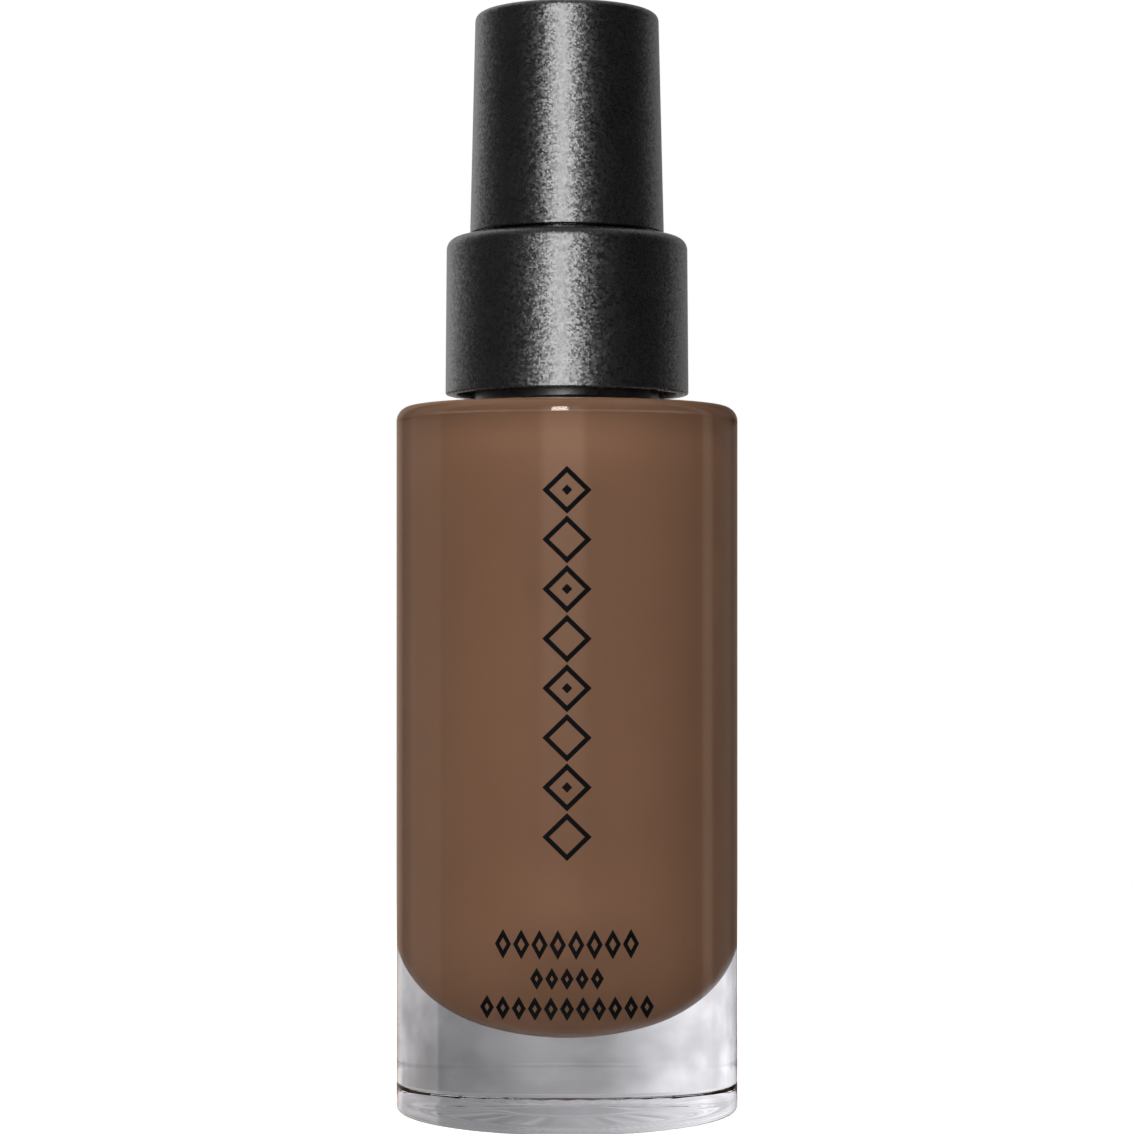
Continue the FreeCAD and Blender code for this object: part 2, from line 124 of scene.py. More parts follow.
def smooth_mesh(name, vertices, faces, sharp_angle=35):
    mesh = bpy.data.meshes.new(name)
    mesh.from_pydata(vertices, [], faces)
    outward = bmesh.new()
    outward.from_mesh(mesh)
    bmesh.ops.recalc_face_normals(outward, faces=outward.faces)
    outward.to_mesh(mesh)
    outward.free()
    shade_smooth(mesh, sharp_angle)
    return add_object(name, mesh)


def weld(mesh):
    """Joins points that coincide and removes faces with no area, in a bmesh."""
    bmesh.ops.remove_doubles(mesh, verts=mesh.verts, dist=WELD)
    bmesh.ops.dissolve_degenerate(mesh, edges=mesh.edges, dist=WELD)


def lathe(name, outline, segments=256, shift=None):
    """Revolves a closed (r, z) outline about the Z axis. shift(angle, r, z) gives a point's moved (r, z)."""
    vertices = []
    rings = []
    for r, z in outline:
        if r < 1e-7:
            rings.append([len(vertices)] * segments)
            vertices.append((0.0, 0.0, z))
            continue
        rings.append(list(range(len(vertices), len(vertices) + segments)))
        for k in range(segments):
            angle = 2 * math.pi * k / segments
            radius, height = shift(angle, r, z) if shift else (r, z)
            vertices.append((radius * math.cos(angle), radius * math.sin(angle), height))
    faces = []
    for i, ring in enumerate(rings):
        following = rings[(i + 1) % len(rings)]
        for k in range(segments):
            n = (k + 1) % segments
            face = []
            for v in (ring[k], ring[n], following[n], following[k]):
                if v not in face:
                    face.append(v)
            if len(face) > 2:
                faces.append(face)
    return smooth_mesh(name, vertices, faces)


# ---------------------------------------------------------------- materials

class Nodes:
    """A short way to write a node tree."""

    def __init__(self, tree):
        self.tree = tree
        tree.nodes.clear()

    def add(self, kind, inputs=None, **settings):
        node = self.tree.nodes.new(kind)
        for key, value in settings.items():
            setattr(node, key, value)
        for key, value in (inputs or {}).items():
            self.feed(node, key, value)
        return node

    def feed(self, node, key, value):
        socket = node.inputs[key]
        if isinstance(value, bpy.types.NodeSocket):
            self.tree.links.new(value, socket)
        else:
            socket.default_value = value

    def maths(self, operation, a, b=0.0, c=0.0):
        return self.add("ShaderNodeMath", {0: a, 1: b, 2: c}, operation=operation).outputs[0]

    def vector_maths(self, operation, inputs):
        return self.add("ShaderNodeVectorMath", inputs, operation=operation).outputs[0]

    def smooth(self, value, low, high, to_low=0.0, to_high=1.0):
        node = self.add("ShaderNodeMapRange", interpolation_type="SMOOTHSTEP")
        for key, number in ((0, value), (1, low), (2, high), (3, to_low), (4, to_high)):
            self.feed(node, key, number)
        return node.outputs[0]

    def noise(self, scale, detail=2.0, vector=None):
        wanted = {"Vector": vector or self.place(), "Scale": scale, "Detail": detail}
        return self.add("ShaderNodeTexNoise", wanted).outputs["Fac"]

    def place(self):
        return self.add("ShaderNodeTexCoord").outputs["Object"]

    def bump(self, height, distance, strength=1.0, normal=None):
        wanted = {"Height": height, "Distance": distance, "Strength": strength}
        if normal:
            wanted["Normal"] = normal
        return self.add("ShaderNodeBump", wanted).outputs["Normal"]

    def ramp(self, value, stops):
        node = self.add("ShaderNodeValToRGB", {"Fac": value})
        ramp = node.color_ramp
        while len(ramp.elements) < len(stops):
            ramp.elements.new(0.5)
        for element, (position, colour) in zip(ramp.elements, stops):
            element.position = position
            element.color = colour if len(colour) == 4 else (*colour, 1.0)
        return node.outputs["Color"]


def grey(level):
    return (level, level, level, 1.0)


def material(name):
    made = bpy.data.materials.new(name)
    made.use_nodes = True
    nodes = Nodes(made.node_tree)
    shader = nodes.add("ShaderNodeBsdfPrincipled")
    output = nodes.add("ShaderNodeOutputMaterial")
    made.node_tree.links.new(shader.outputs[0], output.inputs["Surface"])
    return made, nodes, shader


def satin_black():
    """Black lacquer with a fine hard grain that sparkles where it catches a light."""
    made, nodes, shader = material("satin_black")
    flakes = nodes.add("ShaderNodeTexVoronoi", {"Vector": nodes.place(), "Scale": 5000.0}).outputs["Color"]
    off = nodes.vector_maths("SUBTRACT", {0: flakes, 1: (0.5, 0.5, 0.5)})
    tilt = nodes.vector_maths("SCALE", {0: off, "Scale": 0.17})
    straight = nodes.add("ShaderNodeNewGeometry").outputs["Normal"]
    tilted = nodes.vector_maths("NORMALIZE", {0: nodes.vector_maths("ADD", {0: straight, 1: tilt})})
    dark, light = (0.0024, 0.0024, 0.0025), (0.0036, 0.0036, 0.0037)
    nodes.feed(shader, "Base Color", nodes.ramp(nodes.noise(300, 3.0), [(0.35, dark), (0.65, light)]))
    nodes.feed(shader, "IOR", 1.8)
    nodes.feed(shader, "Roughness", nodes.smooth(nodes.noise(2400, 1.0), 0.3, 0.7, 0.25, 0.33))
    nodes.feed(shader, "Normal", nodes.bump(nodes.noise(5200, 1.0), 0.006 * MM, 1.0, tilted))
    return made


def smooth_black():
    """Plain black moulded plastic, with the faint orange-peel of a moulded skin."""
    made, nodes, shader = material("smooth_black")
    peel = nodes.noise(900)
    dark, light = (0.006, 0.006, 0.0065), (0.011, 0.011, 0.0115)
    nodes.feed(shader, "Base Color", nodes.ramp(nodes.noise(250), [(0.3, dark), (0.7, light)]))
    nodes.feed(shader, "Roughness", nodes.smooth(peel, 0.3, 0.7, 0.25, 0.38))
    nodes.feed(shader, "Normal", nodes.bump(peel, 0.01 * MM, 0.6))
    return made


def clear_glass():
    """Flint glass: nearly no colour, with the very slight ripple of a pressed surface."""
    made, nodes, shader = material("clear_glass")
    nodes.feed(shader, "Base Color", (0.985, 0.992, 0.995, 1.0))
    nodes.feed(shader, "Transmission Weight", 1.0)
    nodes.feed(shader, "IOR", 1.5)
    nodes.feed(shader, "Roughness", 0.0)
    ripple = nodes.noise(70, 1.0)
    nodes.feed(shader, "Normal", nodes.bump(ripple, 0.03 * MM, 0.4))
    return made


def foundation_liquid():
    """Opaque liquid against the glass: soft, nearly matte, with faint drifts of pigment."""
    made, nodes, shader = material("foundation_liquid")
    drift = nodes.noise(45, 3.0)
    tone = nodes.ramp(drift, [(0.3, (0.176, 0.091, 0.0545)), (0.7, (0.19, 0.1, 0.06))])
    nodes.feed(shader, "Base Color", tone)
    nodes.feed(shader, "Roughness", 0.25)
    nodes.feed(shader, "Specular IOR Level", 0.02)
    return made


def dark_ink():
    """Screen-printed ink: near-black and nearly matte, with a slightly uneven film."""
    made, nodes, shader = material("dark_ink")
    film = nodes.noise(2500)
    dark, light = (0.0012, 0.0014, 0.0016), (0.002, 0.0022, 0.0025)
    nodes.feed(shader, "Base Color", nodes.ramp(film, [(0.3, dark), (0.7, light)]))
    nodes.feed(shader, "Specular IOR Level", 0.01)
    nodes.feed(shader, "Roughness", nodes.smooth(film, 0.3, 0.7, 0.4, 0.55))
    nodes.feed(shader, "Normal", nodes.bump(film, 0.008 * MM, 0.5))
    return made


def milky_plastic(name, colour, roughness):
    """Uncoloured pump plastic, which glows a little where light gets into it."""
    made, nodes, shader = material(name)
    cloud = nodes.noise(350, 3.0)
    darker = tuple(0.93 * c for c in colour)
    nodes.feed(shader, "Base Color", nodes.ramp(cloud, [(0.3, darker), (0.7, colour)]))
    nodes.feed(shader, "Roughness", nodes.smooth(cloud, 0.3, 0.7, roughness - 0.05, roughness + 0.05))
    nodes.feed(shader, "Subsurface Weight", 0.4)
    nodes.feed(shader, "Subsurface Radius", (1.0, 1.0, 1.0))
    nodes.feed(shader, "Subsurface Scale", 0.8 * MM)
    nodes.feed(shader, "Normal", nodes.bump(nodes.noise(1500), 0.006 * MM, 0.5))
    return made


def bright_steel():
    """Stainless steel of the spring and the ball, with the fine unevenness of drawn wire."""
    made, nodes, shader = material("bright_steel")
    drawn = nodes.noise(2200, 3.0)
    dark, light = (0.56, 0.56, 0.55), (0.66, 0.66, 0.65)
    nodes.feed(shader, "Base Color", nodes.ramp(drawn, [(0.3, dark), (0.7, light)]))
    nodes.feed(shader, "Metallic", 1.0)
    nodes.feed(shader, "Roughness", nodes.smooth(drawn, 0.3, 0.7, 0.16, 0.28))
    return made


# ---------------------------------------------------------------- pieces

def finish_piece(piece, body, slot, look, *nodes):
    """Gives a piece its material and its body, and hides the CAD nodes that it stands for. The slot argument
    is not used.
    """
    piece.data.materials.append(look)
    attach(piece, body)
    if nodes:
        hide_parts(*nodes)


def bowl(offset):
    """Points of the cavity's bowl, from the axis to the wall: two tangent arcs, grown outwards by offset."""
    floor_r, corner_r = 17.0 * MM, 10.0 * MM
    steps = 28
    corner_x = CAVITY_R - corner_r
    drop = math.sqrt((floor_r - corner_r) ** 2 - corner_x ** 2)
    floor_z = BOWL_FOOT + floor_r
    corner_z = floor_z - drop
    join = math.atan2(corner_x, drop)
    points = []
    for k in range(steps):
        angle = join * k / steps
        radius = floor_r + offset
        points.append((radius * math.sin(angle), floor_z - radius * math.cos(angle)))
    for k in range(steps + 1):
        angle = join + (math.pi / 2 - join) * k / steps
        radius = corner_r + offset
        points.append((corner_x + radius * math.sin(angle), corner_z - radius * math.cos(angle)))
    return points


def cavity_outline(offset, top):
    """The cavity from the bowl's lowest point to the neck bore at height top, grown outwards by offset."""
    shoulder_glass = 1.1 * MM
    roof = SHOULDER_Z - shoulder_glass + offset
    wall = CAVITY_R + offset
    bore = NECK_BORE_R + offset
    points = bowl(offset)
    foot = points[-1][1]
    rows = 24
    straight_top = roof - 1.5 * MM
    for k in range(1, rows):
        points.append((wall, foot + (straight_top - foot) * k / rows))
    return points + rounded([
        (wall, straight_top),
        (wall, roof, 0.8 * MM),
        (bore, roof, 0.4 * MM),
        (bore, top),
    ], closed=False)


def slow_ripple(angle, r, z):
    """Inner walls of pressed glass are never quite round. The middle and the top stay true."""
    if r < 1 * MM or r > 13.5 * MM or z > SHOULDER_Z - 3.0 * MM:
        return r, z
    depth, wave = 0.004, 9 * MM
    where = Vector((math.cos(angle) * r, math.sin(angle) * r, z * 0.6))
    return r * (1 + depth * noise.noise(where / wave)), z


def neck_thread(angle, z):
    """Height of the screw thread above the neck wall."""
    pitch, turns, depth = 3.175 * MM, 1.25, 0.8 * MM
    half_width, slope = 0.92 * MM, 0.55 * MM
    run_out = 0.04  # of a turn, at each end
    start = SHOULDER_Z + 5.2 * MM
    height = 0.0
    for lap in range(2):
        run = angle / (2 * math.pi) + lap
        if run > turns:
            continue
        away = abs(z - start - pitch * run)
        flank = min(max((half_width - away) / slope, 0.0), 1.0)
        fade = min(run, turns - run, run_out) / run_out
        height = max(height, depth * flank * fade)
    return height


def base_stipple(angle, r):
    """How far the base is raised here by the dimples round the outer part of its foot."""
    if not STIPPLE_IN < r < STIPPLE_OUT:
        return 0.0
    depth, count = 0.1 * MM, 96
    across = math.sin(math.pi * (r - STIPPLE_IN) / (STIPPLE_OUT - STIPPLE_IN))
    return depth * across * (0.5 - 0.5 * math.cos(count * angle))


def glass_shape(angle, r, z):
    """Moves a point of the turned glass to make the dimples, the thread and the ripple of the inner wall."""
    if z < 0.4 * MM:
        return r, z + base_stipple(angle, r)
    if z > SHOULDER_Z + NECK_PLAIN and r > NECK_R - 0.1 * MM:
        return r + neck_thread(angle, z), z
    if r < CAVITY_R + 0.1 * MM and z > BOWL_FOOT - 0.1 * MM:
        return slow_ripple(angle, r, z)
    return r, z


def glass_outline():
    """The whole section of the glass: recess, base, wall, shoulder, neck, lip, and back down the inside."""
    punt_z, punt_roof_r, punt_r, punt_blend_r = 0.6 * MM, 5.0 * MM, 10.6 * MM, 15.0 * MM
    base_round, shoulder_round, neck_fillet = 0.5 * MM, 1.6 * MM, 0.8 * MM
    lip_depth = 2 * MM
    ring_steps = 8
    ring_step = (STIPPLE_OUT - STIPPLE_IN) / ring_steps
    ring = [(STIPPLE_IN + ring_step * k, 0.0) for k in range(ring_steps + 1)]
    foot = rounded([
        (0, punt_z),
        (punt_roof_r, punt_z, punt_blend_r),
        (punt_r, 0, punt_blend_r),
        ring[0],
    ], closed=False)
    wall = rounded([
        ring[-1],
        (BOTTLE_R, 0, base_round),
        (BOTTLE_R, SHOULDER_Z, shoulder_round),
        (NECK_R, SHOULDER_Z, neck_fillet),
        (NECK_R, SHOULDER_Z + NECK_PLAIN),
    ], closed=False, steps=14)
    rows = 50
    neck_foot = SHOULDER_Z + NECK_PLAIN
    neck_high = NECK_TOP - 0.6 * MM
    neck = [(NECK_R, neck_foot + (neck_high - neck_foot) * k / rows) for k in range(1, rows + 1)]
    lip = rounded([
        neck[-1],
        (NECK_R, NECK_TOP, 0.5 * MM),
        (NECK_BORE_R, NECK_TOP, 0.4 * MM),
        (NECK_BORE_R, NECK_TOP - lip_depth),
    ], closed=False)
    inside = cavity_outline(0.0, NECK_TOP - lip_depth)
    return foot + ring[1:] + wall[1:] + neck + lip[1:] + inside[::-1][1:]


def make_bottle():
    glass = lathe("bottle_glass", glass_outline(), segments=384, shift=glass_shape)
    finish_piece(glass, "bottle", "clear_glass", clear_glass(), "glass_bottle")


def make_liquid():
    """The fill reaches just into the glass, so no gap shows, and has a stepped hollow round the pump."""
    outline = cavity_outline(WETTING, fill_high.z)
    steps = [  # radius and floor of each step of the hollow
        (4.46 * MM, 70.9 * MM),
        (3.16 * MM, 67.4 * MM),
        (2.56 * MM, 60.4 * MM),
        (1.55 * MM, 9.54 * MM),
    ]
    well = []
    ledge = fill_high.z
    for radius, floor in steps:
        well += [(radius, ledge), (radius, floor)]
        ledge = floor
    well.append((0, ledge))
    liquid = lathe("foundation_liquid", outline + well, segments=256, shift=slow_ripple)
    finish_piece(liquid, "bottle", "foundation", foundation_liquid(), "foundation_fill")


def make_ink(name, faces, node):
    """Flat (x, z) faces wrapped on the front of the glass as a thin film."""
    strip, film, lift = 0.4 * MM, 0.045 * MM, 0.012 * MM
    sheet = bmesh.new()
    for corners in faces:
        sheet.faces.new([sheet.verts.new((x, 0.0, z)) for x, z in corners])
    weld(sheet)
    reach = max(abs(v.co.x) for v in sheet.verts)
    cuts = int(reach / strip)
    for k in range(-cuts, cuts + 1):
        everything = sheet.verts[:] + sheet.edges[:] + sheet.faces[:]
        cut = {"plane_co": (k * strip, 0, 0), "plane_no": (1, 0, 0), "dist": WELD}
        bmesh.ops.bisect_plane(sheet, geom=everything, **cut)
    weld(sheet)
    back = sheet.faces[:]
    raised = bmesh.ops.extrude_face_region(sheet, geom=back, use_keep_orig=True)
    front = [g for g in raised["geom"] if isinstance(g, bmesh.types.BMVert)]
    for vertex in front:
        vertex.co.y = -film
    bmesh.ops.recalc_face_normals(sheet, faces=sheet.faces)
    for vertex in sheet.verts:
        radius = BOTTLE_R + lift - vertex.co.y
        vertex.co.y = -math.sqrt(radius ** 2 - vertex.co.x ** 2)
    mesh = bpy.data.meshes.new(name)
    sheet.to_mesh(mesh)
    sheet.free()
    shade_smooth(mesh, sharp_angle=30)
    finish_piece(add_object(name, mesh), "bottle", "ink", INK, node)


def lozenge(x, z, half_width, half_height):
    """Corners of a lozenge about (x, z)."""
    return [(x + half_width, z), (x, z + half_height), (x - half_width, z), (x, z - half_height)]


def lozenge_frame(x, z, half_width, half_height, stroke):
    """Four mitred strips that make a lozenge outline, each as thick as stroke."""
    inner = 1 - stroke * math.hypot(half_width, half_height) / (half_width * half_height)
    outside = lozenge(x, z, half_width, half_height)
    inside = lozenge(x, z, half_width * inner, half_height * inner)
    return [[outside[i - 1], outside[i], inside[i], inside[i - 1]] for i in range(4)]


def make_print():
    """An upright chain of lozenges over three rows of narrow ones. Every other link has a dot in it."""
    count, half, gap, stroke, dot = 8, motif_high.x, 0.16 * MM, 0.5 * MM, 0.55 * MM
    middle = (motif_low.z + motif_high.z) / 2
    faces = []
    for i in range(count):
        z = middle + (2 * i + 1 - count) * half
        faces += lozenge_frame(0, z, half, half - gap / 2, stroke)
        if i % 2:
            faces.append(lozenge(0, z, dot, dot))
    make_ink("ink_motif", faces, "print_motif")

    gap, stroke = 0.2 * MM, 0.42 * MM
    rows = [  # each row's middle, its length, the lozenges' height and their count
        (19.65 * MM, 14.9 * MM, 3.1 * MM, 8),
        (16.15 * MM, 7.6 * MM, 2.3 * MM, 5),
        (13.05 * MM, 18.0 * MM, 2.5 * MM, 11),
    ]
    faces = []
    for z, length, height, count in rows:
        pitch = (length + gap) / count
        for i in range(count):
            x = (i - (count - 1) / 2) * pitch
            faces += lozenge_frame(x, z, (pitch - gap) / 2, height / 2, stroke)
    make_ink("ink_caption", faces, "print_caption")


def make_collar():
    """Outer collar, its web, the ring that the overcap seats on, and the ribs inside."""
    foot_r, top_r, wall = collar_high.x, 13.06 * MM, 1.2 * MM
    seat_r, bore_r, hole_r = 8.55 * MM, 7.75 * MM, 4.2 * MM
    seat_top = collar_high.z
    top = seat_top - 3.1 * MM
    web = closure_high.z + 0.1 * MM
    bead, bead_half, bead_proud = seat_top - 1.0 * MM, 0.3 * MM, 0.12 * MM
    outline = rounded([
        (foot_r - wall, collar_low.z, 0.2 * MM),
        (foot_r, collar_low.z, 0.25 * MM),
        (top_r, top, 1.3 * MM),
        (seat_r, top, 0.2 * MM),
        (seat_r, bead - bead_half, 0.1 * MM),
        (seat_r + bead_proud, bead, 0.15 * MM),
        (seat_r, bead + bead_half, 0.1 * MM),
        (seat_r, seat_top, 0.3 * MM),
        (bore_r, seat_top, 0.25 * MM),
        (bore_r, top, 0.3 * MM),
        (hole_r, top, 0.3 * MM),
        (hole_r, web),
        (top_r - wall, web, 0.6 * MM),
    ], support=0.02 * MM)
    collar = lathe("outer_collar", outline, segments=320)
    finish_piece(collar, "closure", "black_satin", SATIN, "collar_shroud")
    rib_count, rib_inner, rib_width, rib_rise, bite = 12, 10.02 * MM, 0.8 * MM, 1.8 * MM, 0.1 * MM
    for i in range(rib_count):
        angle = math.radians(7.5) + 2 * math.pi * i / rib_count
        rib = rib_mesh(f"collar_rib_{i:02d}", rib_inner, foot_r - wall + bite, rib_width,
                       collar_low.z + rib_rise, web + bite, angle)
        rib.data.materials.append(SMOOTH)
        rib.parent = collar


def rib_mesh(name, inner, outer, width, low, high, angle):
    """An upright rib with a sloped lead-in at its foot."""
    lead_up, lead_in = 0.8 * MM, 0.48 * MM
    side = [(inner, low + lead_up), (inner + lead_in, low), (outer, low), (outer, high), (inner, high)]
    count = len(side)
    cosine, sine = math.cos(angle), math.sin(angle)
    vertices = []
    for y in (-width / 2, width / 2):
        for r, z in side:
            vertices.append((r * cosine - y * sine, r * sine + y * cosine, z))
    faces = [list(range(count)), list(range(2 * count - 1, count - 1, -1))]
    for k in range(count):
        n = (k + 1) % count
        faces.append([k, n, n + count, k + count])
    return smooth_mesh(name, vertices, faces)


def make_overcap():
    """The tapered overcap, and the inner cup with the bead that clicks on the collar's seat ring."""
    foot_r, top_r = shell_high.x, 9.94 * MM
    slope = (foot_r - top_r) / (shell_high.z - shell_low.z)
    wall, roof = 1.0 * MM, 1.1 * MM
    ceiling = shell_high.z - roof
    shell = lathe("overcap", rounded([
        (foot_r - wall, shell_low.z, 0.15 * MM),
        (foot_r, shell_low.z, 0.2 * MM),
        (top_r, shell_high.z, 0.8 * MM),
        (0, shell_high.z),
        (0, ceiling),
        (foot_r - wall - slope * (ceiling - shell_low.z), ceiling, 0.5 * MM),
    ], support=0.03 * MM), segments=320)
    finish_piece(shell, "overcap", "black_satin", SATIN, "overcap_shell")

    gap, skin, top_skin = 0.02 * MM, 0.6 * MM, 0.8 * MM
    top = ceiling - gap
    inner_top = top - top_skin

    def outer_r(z):
        return foot_r - wall - gap - slope * (z - shell_low.z)

    bead, bead_r, bead_half = collar_high.z - 1.7 * MM, 8.71 * MM, 0.25 * MM
    foot = liner_low.z
    liner = lathe("overcap_inner_cup", rounded([
        (outer_r(foot) - skin, foot, 0.25 * MM),
        (outer_r(foot), foot, 0.1 * MM),
        (outer_r(top), top, 0.6 * MM),
        (0, top),
        (0, inner_top),
        (outer_r(inner_top) - skin, inner_top, 0.4 * MM),
        (outer_r(bead) - skin, bead + bead_half),
        (bead_r, bead, 0.08 * MM),
        (outer_r(bead) - skin, bead - bead_half),
    ], support=0.02 * MM), segments=192)
    finish_piece(liner, "overcap", "liner_plastic", SMOOTH, "overcap_liner")


def drill_window(cup, radius, near, far, height):
    """Cuts a round hole through the front of the cup, from y = -near to y = -far."""
    drill = lathe("drill", [(0, near), (radius, near), (radius, far), (0, far)], segments=64)
    drill.rotation_euler = (math.pi / 2, 0, 0)
    drill.location = (0, 0, height)
    cut = cup.modifiers.new("window", "BOOLEAN")
    cut.operation = "DIFFERENCE"
    cut.solver = "EXACT"
    cut.object = drill
    bpy.context.view_layer.update()
    solid = bpy.data.meshes.new_from_object(cup.evaluated_get(bpy.context.evaluated_depsgraph_get()))
    cup.modifiers.clear()
    bpy.data.objects.remove(drill)
    welded = bmesh.new()
    welded.from_mesh(solid)
    weld(welded)
    welded.to_mesh(solid)
    welded.free()
    solid.materials.clear()
    shade_smooth(solid)
    cup.data = solid


def make_head():
    """Pump head: a tapered cup with a dished finger pad, and the nozzle through its front."""
    foot_r, top_r, wall = head_high.x, 6.95 * MM, 0.95 * MM
    top, foot = head_high.z, head_low.z
    ceiling = top - 1.65 * MM
    slope = (foot_r - top_r) / (top - foot)
    pad_r, pad_depth, dish_r, dish_depth = 5.9 * MM, 0.6 * MM, 4.2 * MM, 0.5 * MM
    outline = rounded([
        (foot_r - wall, foot, 0.15 * MM),
        (foot_r, foot, 0.2 * MM),
        (top_r, top, 0.6 * MM),
        (pad_r, top, 0.4 * MM),
        (dish_r, top - dish_depth, 4.0 * MM),
        (0, top - pad_depth),
        (0, ceiling),
        (foot_r - wall - slope * (ceiling - foot), ceiling, 0.2 * MM),
    ], support=0.02 * MM)
    cup = lathe("pump_head", outline, segments=256)
    nozzle_z = (nozzle_low.z + nozzle_high.z) / 2
    drill_window(cup, radius=1.72 * MM, near=3 * MM, far=9 * MM, height=nozzle_z)
    finish_piece(cup, "head", "black_satin", SATIN, "actuator_shell")

    tip_y, flange_y, seat_y = 7.9 * MM, 7.1 * MM, 4.22 * MM
    bore_r, flange_r, barrel_r = 0.6 * MM, 1.9 * MM, 1.6 * MM
    tip = lathe("nozzle", rounded([
        (bore_r, tip_y, 0.2 * MM),
        (flange_r, tip_y, 0.3 * MM),
        (flange_r, flange_y, 0.1 * MM),
        (barrel_r, flange_y),
        (barrel_r, seat_y),
        (bore_r, seat_y),
    ], support=0.01 * MM), segments=96)
    for vertex in tip.data.vertices:
        x, y, z = vertex.co
        vertex.co = (x, -z, y + nozzle_z)
    finish_piece(tip, "head", "black_plastic", SMOOTH, "nozzle_insert")


def make_spring():
    """Return spring with closed ends, which stands on the pump. The real one is squeezed as the head is
    pressed; this mesh has one fixed length.
    """
    low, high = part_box("return_spring")
    wire_r, turns, per_turn, sides = 0.25 * MM, 7, 40, 14
    coil_r = high.x - wire_r
    closed_pitch = 0.28  # of the pitch between the ends
    closed_turns, opening_turns = 0.6, 0.8

    def pitch(turn):
        from_end = min(max((min(turn, turns - turn) - closed_turns) / opening_turns, 0.0), 1.0)
        return closed_pitch + (1 - closed_pitch) * from_end ** 2 * (3 - 2 * from_end)

    climb = [0.0]
    for k in range(turns * per_turn):
        climb.append(climb[-1] + pitch((k + 0.5) / per_turn))
    rise = (high.z - low.z - 2 * wire_r) / climb[-1]
    vertices = []
    for k, height in enumerate(climb):
        angle = 2 * math.pi * k / per_turn
        outwards = Vector((math.cos(angle), math.sin(angle), 0.0))
        slope = rise * pitch(k / per_turn) * per_turn / (2 * math.pi * coil_r)
        across = Vector((slope * math.sin(angle), -slope * math.cos(angle), 1.0)).normalized()
        centre = outwards * coil_r + Vector((0.0, 0.0, low.z + wire_r + rise * height))
        for i in range(sides):
            turn = 2 * math.pi * i / sides
            vertices.append(centre + wire_r * (math.cos(turn) * outwards + math.sin(turn) * across))
    faces = [list(range(sides)), list(range(len(vertices) - sides, len(vertices)))]
    for k in range(len(climb) - 1):
        for i in range(sides):
            a, b = k * sides + i, k * sides + (i + 1) % sides
            faces.append([a, b, b + sides, a + sides])
    spring = smooth_mesh("coil_spring", vertices, faces, sharp_angle=50)
    finish_piece(spring, "pump", "steel", STEEL, "return_spring")
    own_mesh(spring)


def paint_frame():
    """Materials for the CAD pieces that stay as they are."""
    natural = milky_plastic("natural_plastic", (0.56, 0.57, 0.56), 0.4)
    seal = milky_plastic("seal_plastic", (0.62, 0.62, 0.6), 0.5)
    foam = milky_plastic("gasket_foam", (0.6, 0.6, 0.58), 0.8)
    looks = {
        "neck_gasket": foam,
        "pump_housing": natural,
        "turret": natural,
        "ball_retainer": natural,
        "dip_tube": natural,
        "inlet_ball": STEEL,
        "piston": seal,
        "stem": natural,
        "piston_rod": natural,
        "actuator_core": SMOOTH,
        "screw_closure": SMOOTH,
    }
    for node, look in looks.items():
        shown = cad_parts[node]
        shown.data.materials.clear()
        shown.data.materials.append(look)


# ---------------------------------------------------------------- studio

def make_floor():
    """A pale floor round the bottle that fades into the white studio.

    Only the camera sees it, and it has no underside.
    """
    segments, rings, radius, glow = 96, 24, 320 * MM, 0.6
    vertices = [(0.0, 0.0, 0.0)]
    faces = []
    for i in range(1, rings + 1):
        for k in range(segments):
            angle = 2 * math.pi * k / segments
            r = radius * i / rings
            vertices.append((r * math.cos(angle), r * math.sin(angle), 0.0))
    for k in range(segments):
        faces.append([0, 1 + k, 1 + (k + 1) % segments])
    for i in range(rings - 1):
        for k in range(segments):
            a = 1 + i * segments
            n = (k + 1) % segments
            faces.append([a + k, a + segments + k, a + segments + n, a + n])
    floor = smooth_mesh("floor", vertices, faces)
    floor.location.z = bottle_low.z - 0.02 * MM
    made = bpy.data.materials.new("pale_floor")
    made.use_nodes = True
    nodes = Nodes(made.node_tree)
    dust = nodes.noise(120, 4.0)
    tone = nodes.ramp(dust, [(0.3, grey(0.86)), (0.7, grey(0.88))])
    paper = nodes.add("ShaderNodeBsdfDiffuse", {"Color": tone}).outputs[0]
    lift = nodes.add("ShaderNodeEmission", {"Color": tone, "Strength": glow}).outputs[0]
    lifted = nodes.add("ShaderNodeAddShader", {0: paper, 1: lift}).outputs[0]
    clear = nodes.add("ShaderNodeBsdfTransparent").outputs[0]
    away = nodes.add("ShaderNodeVectorMath", {0: nodes.place()}, operation="LENGTH").outputs["Value"]
    fade_start, fade_end = 0.35 * radius, 0.95 * radius
    fade = nodes.smooth(away, fade_start, fade_end)
    seen = nodes.add("ShaderNodeLightPath").outputs["Is Camera Ray"]
    below = nodes.add("ShaderNodeNewGeometry").outputs["Backfacing"]
    hidden = nodes.maths("MAXIMUM", nodes.maths("MAXIMUM", fade, below), nodes.maths("SUBTRACT", 1.0, seen))
    mix = nodes.add("ShaderNodeMixShader", {0: hidden, 1: lifted, 2: clear})
    output = nodes.add("ShaderNodeOutputMaterial")
    made.node_tree.links.new(mix.outputs[0], output.inputs["Surface"])
    floor.data.materials.append(made)


